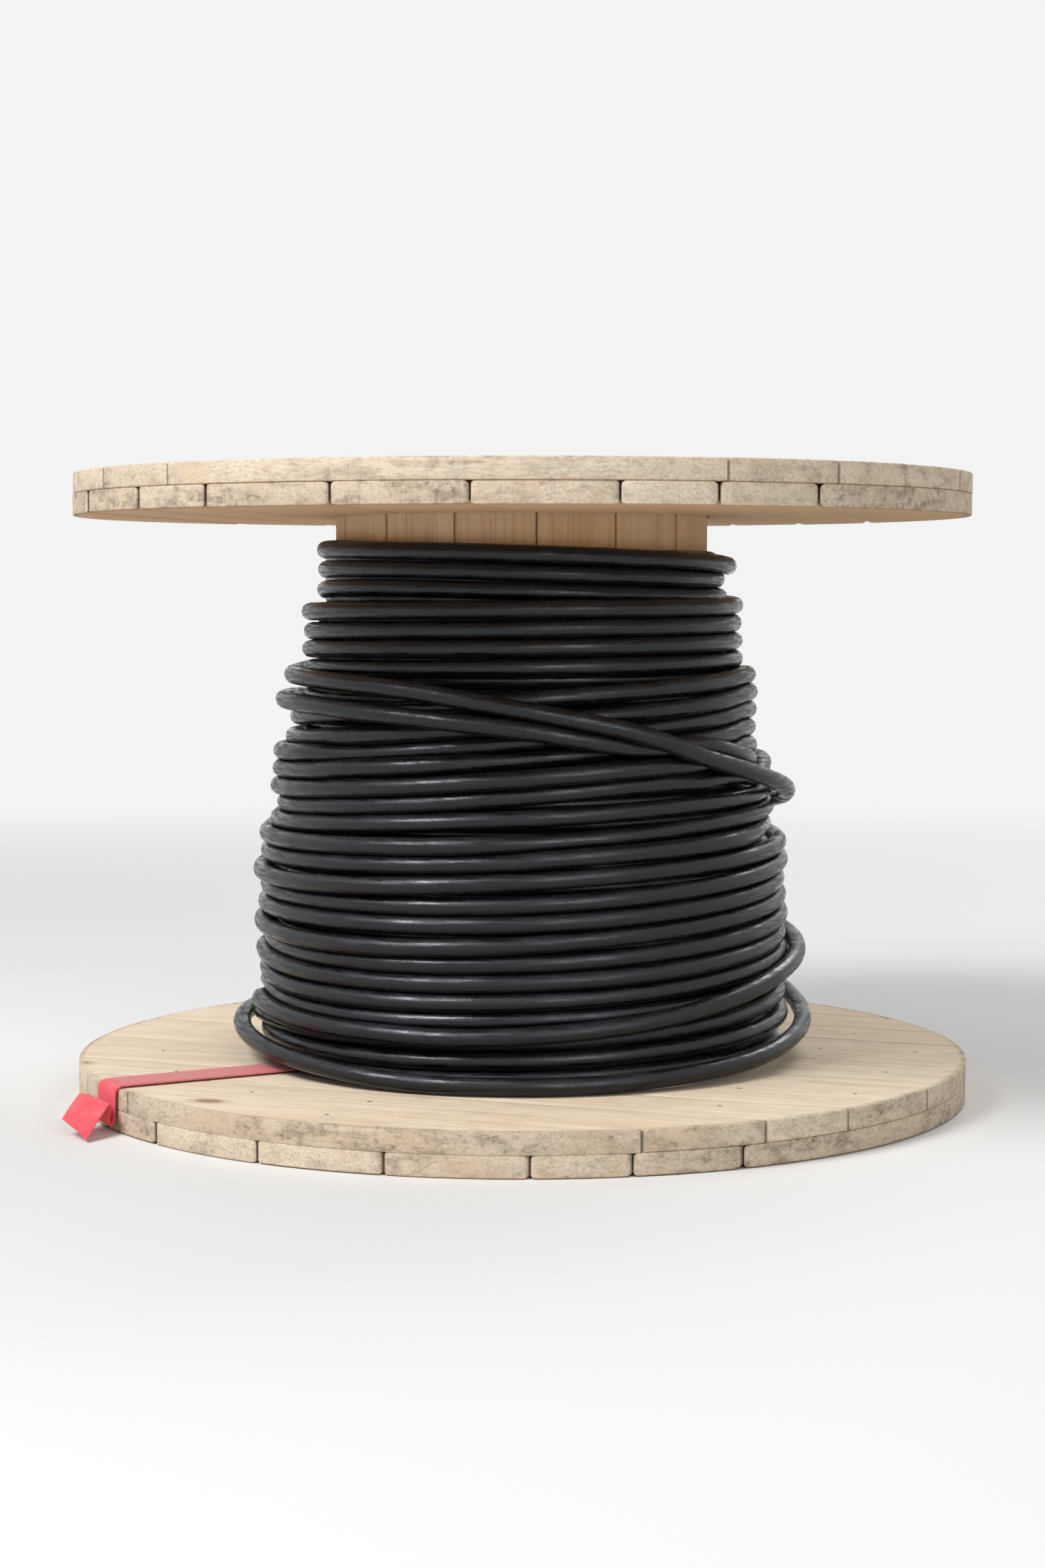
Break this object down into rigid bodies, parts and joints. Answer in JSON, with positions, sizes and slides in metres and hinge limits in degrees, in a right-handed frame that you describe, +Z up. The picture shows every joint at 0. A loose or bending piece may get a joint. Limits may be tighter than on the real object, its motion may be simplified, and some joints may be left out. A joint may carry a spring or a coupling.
{
  "type": "wooden cable drum",
  "caption": "Wooden cable drum on its end: crossed-board flanges, staved barrel, tie bolts, through arbor hole, stepped winding of black cable and a red strap end on the lower flange.",
  "frame": {"origin": "centre of the lower flange's underside, on the drum's axis", "axes": "+Z up the drum's axis; X along the boards of the lower flange's inner layer"},
  "size_m": [1.016, 1.016, 0.706],
  "materials": {
    "flange_wood": "sawn softwood, bleached and weathered grey at the rims",
    "stave_wood": "sawn softwood, unweathered",
    "cable_jacket": "semi-matt, dusty scuffs",
    "bolt_steel": "zinc plated, dull",
    "strap_webbing": "woven webbing, faded"
  },
  "bodies": {
    "root": {"lower_outer_board_1": "flange_wood", "lower_outer_board_2": "flange_wood", "lower_outer_board_3": "flange_wood", "lower_outer_board_4": "flange_wood", "lower_outer_board_5": "flange_wood", "lower_outer_board_6": "flange_wood", "lower_outer_board_7": "flange_wood", "lower_outer_board_8": "flange_wood", "lower_outer_board_9": "flange_wood", "lower_inner_board_1": "flange_wood", "lower_inner_board_2": "flange_wood", "lower_inner_board_3": "flange_wood", "lower_inner_board_4": "flange_wood", "lower_inner_board_5": "flange_wood", "lower_inner_board_6": "flange_wood", "lower_inner_board_7": "flange_wood", "lower_inner_board_8": "flange_wood", "lower_inner_board_9": "flange_wood", "upper_inner_board_1": "flange_wood", "upper_inner_board_2": "flange_wood", "upper_inner_board_3": "flange_wood", "upper_inner_board_4": "flange_wood", "upper_inner_board_5": "flange_wood", "upper_inner_board_6": "flange_wood", "upper_inner_board_7": "flange_wood", "upper_inner_board_8": "flange_wood", "upper_inner_board_9": "flange_wood", "upper_outer_board_1": "flange_wood", "upper_outer_board_2": "flange_wood", "upper_outer_board_3": "flange_wood", "upper_outer_board_4": "flange_wood", "upper_outer_board_5": "flange_wood", "upper_outer_board_6": "flange_wood", "upper_outer_board_7": "flange_wood", "upper_outer_board_8": "flange_wood", "upper_outer_board_9": "flange_wood", "stave_1": "stave_wood", "stave_2": "stave_wood", "stave_3": "stave_wood", "stave_4": "stave_wood", "stave_5": "stave_wood", "stave_6": "stave_wood", "stave_7": "stave_wood", "stave_8": "stave_wood", "stave_9": "stave_wood", "stave_10": "stave_wood", "stave_11": "stave_wood", "stave_12": "stave_wood", "stave_13": "stave_wood", "stave_14": "stave_wood", "stave_15": "stave_wood", "cable_winding": "cable_jacket", "tie_bolts": "bolt_steel", "tie_bolt_nuts": "bolt_steel", "tie_bolt_washers": "bolt_steel", "lashing_strap": "strap_webbing"}
  },
  "joints": []
}
